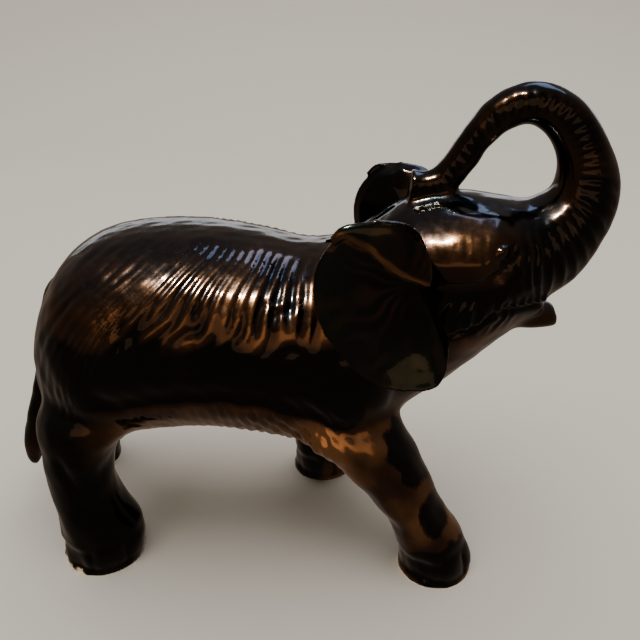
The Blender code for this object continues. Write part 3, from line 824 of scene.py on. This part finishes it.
# an ear is a cupped leaf with a rolled rim, and a flap folded over its upper front edge
ear = {
    # outline about the root: forward in ear widths, up in ear heights
    "outline": [(-.30, .425), (-.57, .34), (-.73, .15), (-.70, -.12), (-.50, -.36),
                (-.28, -.51), (-.03, -.575), (.20, -.55), (.28, -.42), (.27, -.24),
                (.16, -.04), (.09, .12), (.08, .24), (-.04, .38)],
    "thickness": 3.4 * mm, "bowl": 9.5 * mm, "rearOut": 6.3 * mm, "rim": 0.6 * mm,
    "below": 17.3 * mm,         # the hollow's floor, inward of the outermost rim
    # flap: middle x, inward of the outermost rim, z, half width; mm from the box
    "flap": [(7.1, 3.2, 67.3, 1.6), (11.8, 3.2, 70.6, 2.8), (18.6, 4.0, 69.6, 5.0),
             (25.1, 5.0, 67.4, 6.8), (31.4, 6.0, 62.6, 7.8), (37.6, 7.2, 57.0, 7.2),
             (41.4, 8.6, 51.8, 4.6), (43.4, 10.4, 47.6, 2.0)],
    "flapThick": 1.5 * mm, "voxel": 0.62 * mm, "clear": 0.2 * mm, "shrink": 0.985,
    "narrow": 1.01, "rear": 0.73,
    # where the outline starts and where the veins fan from: behind the front, up, as shares
    "root": (0.28, 0.575), "veinRoot": (0.26, 0.60),
    "veins": 17, "veinBend": 6, "veinHeight": 0.11 * mm, "unevenHeight": 0.05 * mm,
}


def earGrid(form, low, high, side):
    # ring grid: out over the hollow face, round the rim, back over the rear face
    width, height = high[0] - low[0], high[2] - low[2]
    outline = through(form["outline"] + form["outline"][:1], 181)[:-1]
    outline = outline / np.array([form["narrow"], 1.0])
    rootX = high[0] - form["root"][0] * width
    rootZ = low[2] + form["root"][1] * height
    outermost = max(abs(low[1]), abs(high[1]))
    share = np.concatenate([np.linspace(0.04, 1, 40), np.linspace(1, 0.04, 40)])
    back = np.concatenate([np.zeros(40), np.ones(40)])
    grid = np.zeros((80, 180, 3))
    flat = share[:, None, None] * outline[None]
    grid[..., 0] = rootX + flat[..., 0] * width * form["shrink"]
    grid[..., 2] = rootZ + flat[..., 1] * height * form["shrink"]
    rearness = np.clip(-flat[..., 0] / form["rear"], 0, 1)
    bowl = form["bowl"] * share[:, None] ** 2.0
    out = outermost - form["below"] + form["rearOut"] * rearness + bowl
    # rolled rim: the last tenth curls outward and thickens
    out = out + form["rim"] * ease(0.86, 1.0, share)[:, None] * (1 - back[:, None])
    out = out - back[:, None] * form["thickness"] * (0.45 + 0.55 * ease(1.0, 0.9, share))[:, None]
    out = out - back[:, None] * 9 * mm * ease(0.5, 0.1, share)[:, None]
    grid[..., 1] = side * np.minimum(out, outermost - form["clear"])
    return grid


def flapGrid(form, low, high, side):
    # flattened tube along the fold, its width square to it
    rows = through(form["flap"], 60) * mm
    outermost = max(abs(low[1]), abs(high[1]))
    x, inward, z, half = rows.T
    middles = joined(low[0] + x, side * (outermost - inward), low[2] + z)
    ahead = np.gradient(middles, axis=0)
    ahead /= np.linalg.norm(ahead, axis=1)[:, None]
    outward = np.array([0.0, side, 0.0]) + 0 * middles
    toEdge = -side * np.cross(ahead, outward) + 0.22 * outward
    toEdge /= np.linalg.norm(toEdge, axis=1)[:, None]
    return rings(middles, toEdge, np.cross(ahead, toEdge), half, form["flapThick"], 40)


def makeEar(name, node, side):
    # leaf and flap fused, then low veins: height sin(veins angle), the angle turning outward
    low, high = corners(node)
    grids = [earGrid(ear, low, high, side), flapGrid(ear, low, high, side)]
    thing = fused(name, grids, ear["voxel"])
    softened(thing.data, 4, 0.5)
    points, facing = pointsOf(thing.data), normalsOf(thing.data)
    dx = points[:, 0] - high[0] + ear["veinRoot"][0] * (high[0] - low[0])
    dz = points[:, 2] - low[2] - ear["veinRoot"][1] * (high[2] - low[2])
    away, turn = np.hypot(dx, dz), np.arctan2(dz, dx)
    phase = ear["veins"] * (turn + ear["veinBend"] * away) + 2.6 * ripple(points, 0.022, 83)
    ridge = np.sin(phase) * ease(0.003, 0.012, away)
    ridge = ridge * ease(0.052, 0.020, away) * (0.6 + 0.4 * ripple(points, 0.02, 85))
    front = ease(0.1, 0.6, facing[:, 1] * side)
    relief = ear["veinHeight"] * ridge * front + ear["unevenHeight"] * ripple(points, 0.012, 89)
    placePoints(thing.data, points + (relief - 0.1 * mm)[:, None] * facing)
    # painted highlight on the rim, and a painted warm reflection in a strip under the flap's free
    # edge
    rim = ease(0.75, 0.35, np.abs(facing[:, 1])) * ease(0.026, 0.032, away)
    flap = through(ear["flap"], 60) * mm
    across = np.stack([low[0] + flap[:, 0] - 0.62 * flap[:, 3],
                       low[2] + flap[:, 2] - 0.66 * flap[:, 3]], -1)
    gap = np.stack([np.hypot(*(points[:, [0, 2]] - place).T) for place in across], -1).min(1)
    underFlapReflection = ease(0.0032, 0.0022, gap + 0.0006 * ripple(points, 0.006, 91)) * front
    keepGlaze(thing, np.clip(0.3 - 0.3 * ridge * front, 0, 1), 0.10 + 0.4 * rim + 0.55 * underFlapReflection,
              0 * away, 0.25 * front * ease(0.012, 0.035, away) * (1 - rim) * (1 - underFlapReflection))
    return thing


def linear(code):
    # sRGB hex to linear: c/12.92 below 0.04045, else ((c+0.055)/1.055)^2.4
    parts = np.array([int(code[k:k + 2], 16) for k in (1, 3, 5)]) / 255
    parts = np.where(parts <= 0.04045, parts / 12.92, ((parts + 0.055) / 1.055) ** 2.4)
    return (*parts, 1.0)


def addNode(tree, kind, settings=None, **links):
    # a node with its settings; each link goes to the input of that name, or number after _
    node = tree.nodes.new(kind)
    for key, value in (settings or {}).items():
        if isinstance(key, int) or key in node.inputs:
            node.inputs[key].default_value = value
        else:
            setattr(node, key, value)
    for key, source in links.items():
        target = node.inputs[int(key[1:])] if key[0] == "_" else node.inputs[key.replace("_", " ")]
        tree.links.new(source, target)
    return node


def newMaterial(name):
    # an empty material with its shader joined to the output
    material = bpy.data.materials.new(name)
    material.use_nodes = True
    tree = material.node_tree
    tree.nodes.clear()
    shader = addNode(tree, "ShaderNodeBsdfPrincipled")
    addNode(tree, "ShaderNodeOutputMaterial", Surface=shader.outputs["BSDF"])
    return material, tree, shader


def wire(tree, shader, sources):
    # each source goes into the shader's input of that name
    for key, source in sources.items():
        tree.links.new(source, shader.inputs[key])


def setRamp(node, stops):
    # each stop is a place from 0 to 1 and a colour
    while len(node.color_ramp.elements) < len(stops):
        node.color_ramp.elements.new(0.5)
    for element, (place, colour) in zip(node.color_ramp.elements, stops):
        element.position = place
        element.color = colour


glaze = {
    "deep": "#0B0706", "base": "#46301E", "bronze": "#A2764E", "paintedSheenBlue": "#31465E",
    "green": "#26382C", "clay": "#9A8F7E",
    # real sizes: drifting thickness, crystals in the glaze, the coat's orange peel
    "cloud": 22.2 * mm, "crystals": 3.33 * mm, "peel": 7.14 * mm,
    # the painted blue sheen on what faces up: its share, and where it starts and ends in the
    # normal's height
    "cloudShare": 0.8, "poolShare": -0.55, "paintedBlueSheen": 0.5, "paintedBlueSheenFrom": 0.45, "paintedBlueSheenTo": 0.95,
    "smooth": 0.13, "rough": 0.22, "clayRough": 0.6,
    "coat": 0.35, "coatRough": 0.04, "coatIor": 1.5,
}


def lustreGlaze(name, form, brown=0.0):
    # glossy manganese brown glaze with a metallic lustre, poured and kiln fired:
    # near black where it pools in the grooves, bronze where it runs thin on the ridges and where
    # reflections are painted in, a painted blue sheen on what faces up, a little green behind the
    # legs
    material, tree, shader = newMaterial(name)
    place = addNode(tree, "ShaderNodeTexCoord").outputs["Object"]
    cloud, crystals, peel = (addNode(tree, "ShaderNodeTexNoise", {
        "Scale": 1 / form[key], "Detail": detail}, Vector=place).outputs["Fac"]
        for key, detail in (("cloud", 4.0), ("crystals", 2.0), ("peel", 1.0)))
    pool, lustreAndReflection, bare, green = (addNode(tree, "ShaderNodeAttribute", {
        "attribute_name": key}).outputs["Fac"] for key in ("pool", "lustreAndReflection", "bare", "green"))
    patch = addNode(tree, "ShaderNodeMath", {"operation": "MULTIPLY_ADD", 1: form["cloudShare"],
                                             2: brown - form["cloudShare"] / 2}, _0=cloud)
    # ramp place: random cloud plus the bronze share with its painted reflections, lowered where
    # glaze pools
    thin = addNode(tree, "ShaderNodeMath", {"operation": "ADD"}, _0=patch.outputs[0], _1=lustreAndReflection)
    thin = addNode(tree, "ShaderNodeMath", {"operation": "MULTIPLY_ADD", 1: form["poolShare"]},
                   _0=pool, _2=thin.outputs[0])
    colour = addNode(tree, "ShaderNodeValToRGB", Fac=thin.outputs[0])
    setRamp(colour, [(0.05, linear(form["deep"])), (0.45, linear(form["base"])),
                     (1.0, linear(form["bronze"]))])
    # painted blue sheen: blue mixed in as the surface turns up
    normal = addNode(tree, "ShaderNodeNewGeometry").outputs["Normal"]
    upward = addNode(tree, "ShaderNodeSeparateXYZ", Vector=normal).outputs["Z"]
    paintedBlueSheen = addNode(tree, "ShaderNodeMapRange", {"From Min": form["paintedBlueSheenFrom"],
                                                 "From Max": form["paintedBlueSheenTo"], "To Min": 0.0,
                                                 "To Max": form["paintedBlueSheen"]}, Value=upward)
    mixed = colour.outputs["Color"]
    for share, tone in ((paintedBlueSheen.outputs["Result"], "paintedSheenBlue"), (green, "green"), (bare, "clay")):
        mix = addNode(tree, "ShaderNodeMix", {"data_type": "RGBA", 7: linear(form[tone])},
                      _0=share, _6=mixed)
        mixed = mix.outputs[2]
    glazed = addNode(tree, "ShaderNodeMath", {"operation": "SUBTRACT", 0: 1.0}, _1=bare)
    coat = addNode(tree, "ShaderNodeMath", {"operation": "MULTIPLY", 1: form["coat"]},
                   _0=glazed.outputs[0])
    rough = addNode(tree, "ShaderNodeMapRange", {"From Min": 0.3, "From Max": 0.7,
                                                 "To Min": form["smooth"],
                                                 "To Max": form["rough"]}, Value=crystals)
    matt = addNode(tree, "ShaderNodeMath", {"operation": "MULTIPLY_ADD", 1: form["clayRough"]},
                   _0=bare, _2=rough.outputs["Result"])
    grain = addNode(tree, "ShaderNodeBump", {"Strength": 0.2, "Distance": 0.0003},
                    Height=crystals)
    wavy = addNode(tree, "ShaderNodeBump", {"Strength": 0.15, "Distance": 0.0006}, Height=peel)
    wire(tree, shader, {"Base Color": mixed, "Metallic": glazed.outputs[0],
                        "Coat Weight": coat.outputs[0], "Roughness": matt.outputs[0],
                        "Normal": grain.outputs["Normal"], "Coat Normal": wavy.outputs["Normal"]})
    shader.inputs["Coat Roughness"].default_value = form["coatRough"]
    shader.inputs["Coat IOR"].default_value = form["coatIor"]
    return material


vinyl = {"soiled": "#B9B2A4", "clean": "#D2CCBF", "grain": 1.11 * mm, "soil": 11.1 * mm,
         "rough": 0.45, "glow": 0.1}


def softVinyl(name, form):
    # moulded soft vinyl: milky grey, satin, with a faint moulding grain
    material, tree, shader = newMaterial(name)
    place = addNode(tree, "ShaderNodeTexCoord").outputs["Object"]
    grain, soil = (addNode(tree, "ShaderNodeTexNoise", {
        "Scale": 1 / form[key], "Detail": detail}, Vector=place).outputs["Fac"]
        for key, detail in (("grain", 2.0), ("soil", 3.0)))
    ramp = addNode(tree, "ShaderNodeValToRGB", Fac=soil)
    setRamp(ramp, [(0.3, linear(form["soiled"])), (0.7, linear(form["clean"]))])
    shader.inputs["Roughness"].default_value = form["rough"]
    shader.inputs["Subsurface Weight"].default_value = form["glow"]
    bump = addNode(tree, "ShaderNodeBump", {"Strength": 0.3, "Distance": 0.0001}, Height=grain)
    wire(tree, shader, {"Base Color": ramp.outputs["Color"], "Normal": bump.outputs["Normal"]})
    return material


def dress(thing, material, body, slotName, *nodes):
    # material, smooth shading with sharp corners, and what the piece stands for
    thing.data.materials.clear()
    thing.data.materials.append(material)
    thing.data.polygons.foreach_set("material_index", [0] * len(thing.data.polygons))
    thing.data.shade_smooth()
    thing.data.set_sharp_from_angle(angle=radians(62))
    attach(thing, body)
    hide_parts(*nodes)


blackGlaze = lustreGlaze("lustreGlazedEarthenware", glaze)
brownGlaze = lustreGlaze("brownLustreGlaze", glaze, 0.15)
skin = makeSkin()
dress(skin, blackGlaze, "casting", "black_glaze", "torso_shell", "head_shell", "trunk", "tail",
      "foreleg_right", "foreleg_left", "hindleg_right", "hindleg_left")
bank = [skin]
print("skin done", len(skin.data.polygons))
for name, node, side in (("rightEar", "ear_right", -1), ("leftEar", "ear_left", 1)):
    thing = makeEar(name, node, side)
    dress(thing, brownGlaze, "casting", "brown_glaze", node)
    bank.append(thing)
    print(name, len(thing.data.polygons))
plug = makeStopper(stopper)
dress(plug, softVinyl("softVinyl", vinyl), "stopper", "stopper_rubber", "stopper")
bank.append(plug)
print("stopper", len(plug.data.polygons))

room = {"floor": "#CFCBC2", "front": -4.0, "back": 1.5, "bend": 0.5, "wall": 2.2, "half": 4.0}


def makeFloor(form):
    # floor, then a quarter circle up into a plain wall: one profile carried across
    angle = np.linspace(0, pi / 2, 24)
    bend = np.stack([form["back"] - form["bend"] + form["bend"] * np.sin(angle),
                     form["bend"] * (1 - np.cos(angle))], -1)
    profile = np.vstack([[form["front"], 0], bend, [form["back"], form["wall"]]])
    count = len(profile)
    points = [(side * form["half"], y, z) for side in (-1, 1) for y, z in profile]
    faces = [(k, count + k, count + k + 1, k + 1) for k in range(count - 1)]
    mesh = bpy.data.meshes.new("floor")
    mesh.from_pydata(points, [], faces)
    mesh.shade_smooth()
    floor = bpy.data.objects.new("floor", mesh)
    bpy.context.scene.collection.objects.link(floor)
    material, tree, shader = newMaterial("paleMattPaint")
    shader.inputs["Base Color"].default_value = linear(form["floor"])
    shader.inputs["Roughness"].default_value = 0.8
    mesh.materials.append(material)
    floor.visible_glossy = False        # the glaze mirrors the dim brown room instead
    return floor


lamps = {
    # what it lights, place, aim, size, watts, colour, spread in degrees
    "leftBulb": ("bank", (-0.16, -0.42, 1.0), (0, 0, 0.1), (0.05, 0.05), 2.1, "#FFECC0", 60),
    "rightBulb": ("bank", (-0.04, -0.44, 1.0), (0, 0, 0.1), (0.05, 0.05), 2.1, "#FFECC0", 60),
    "warmCard": ("bank", (0.1, -1.9, 0.65), (0, 0, 0.1), (2.6, 0.7), 2.8, "#FFCFA0", 140),
    "coolCard": ("bank", (0.40, 0.38, 1.0), (0.05, 0, 0.1), (0.55, 0.45), 1.1, "#C4DAF6", 120),
    "rimCard": ("bank", (0.0, 1.3, 0.38), (0, 0, 0.12), (2.6, 0.32), 2.0, "#E6ECF0", 140),
    "skyLight": ("floor", (0.0, 0.1, 2.4), (0, 0.1, 0), (3.4, 3.0), 92.0, "#FFFDFA", 180),
}
world = {"colour": "#B5A08E", "strength": 0.40}


def addLight(name, row, lit):
    # a soft panel, unseen by the camera, which lights only its own collection
    onto, place, aim, size, power, colour, spread = row
    data = bpy.data.lights.new(name, "AREA")
    data.shape, data.size, data.size_y = "RECTANGLE", size[0], size[1]
    data.energy = power
    data.color = linear(colour)[:3]
    data.spread = radians(spread)
    lamp = bpy.data.objects.new(name, data)
    bpy.context.scene.collection.objects.link(lamp)
    lamp.location = place
    lamp.visible_camera = False
    lamp.light_linking.receiver_collection = lit[onto]
    lamp.rotation_euler = (Vector(aim) - Vector(place)).to_track_quat("-Z", "Y").to_euler()


def addWorld(form):
    studio = bpy.data.worlds.new("studio")
    studio.use_nodes = True
    background = studio.node_tree.nodes["Background"]
    background.inputs["Color"].default_value = linear(form["colour"])
    background.inputs["Strength"].default_value = form["strength"]
    bpy.context.scene.world = studio


view = {"turn": 4, "down": 26, "roll": 0.8,         # degrees
        "back": 0.273, "aside": 0.0182, "height": 0.247, "lens": 36}


def addCamera(form):
    # turned off square to the side, tipped down, then rolled; a square picture
    turn, down, roll = (radians(form[key]) for key in ("turn", "down", "roll"))
    right = np.array([cos(turn), sin(turn), 0])
    ahead = np.array([-sin(turn) * cos(down), cos(turn) * cos(down), -sin(down)])
    up = np.cross(right, ahead)
    across, above = cos(roll) * right - sin(roll) * up, cos(roll) * up + sin(roll) * right
    data = bpy.data.cameras.new("camera")
    data.lens = data.sensor_width = form["lens"]
    data.clip_start = 0.01
    camera = bpy.data.objects.new("camera", data)
    bpy.context.scene.collection.objects.link(camera)
    matrix = Matrix([list(across), list(above), list(-ahead)]).transposed().to_4x4()
    matrix.translation = (form["back"] * tan(turn) + form["aside"], -form["back"], form["height"])
    camera.matrix_world = matrix
    bpy.context.scene.camera = camera


lit = {}
for name, things in (("floor", [makeFloor(room)]), ("bank", bank)):
    lit[name] = bpy.data.collections.new(name + "Lit")
    for thing in things:
        lit[name].objects.link(thing)
for name, row in lamps.items():
    addLight(name, row, lit)
addWorld(world)
addCamera(view)
print("floor, lights and camera done")
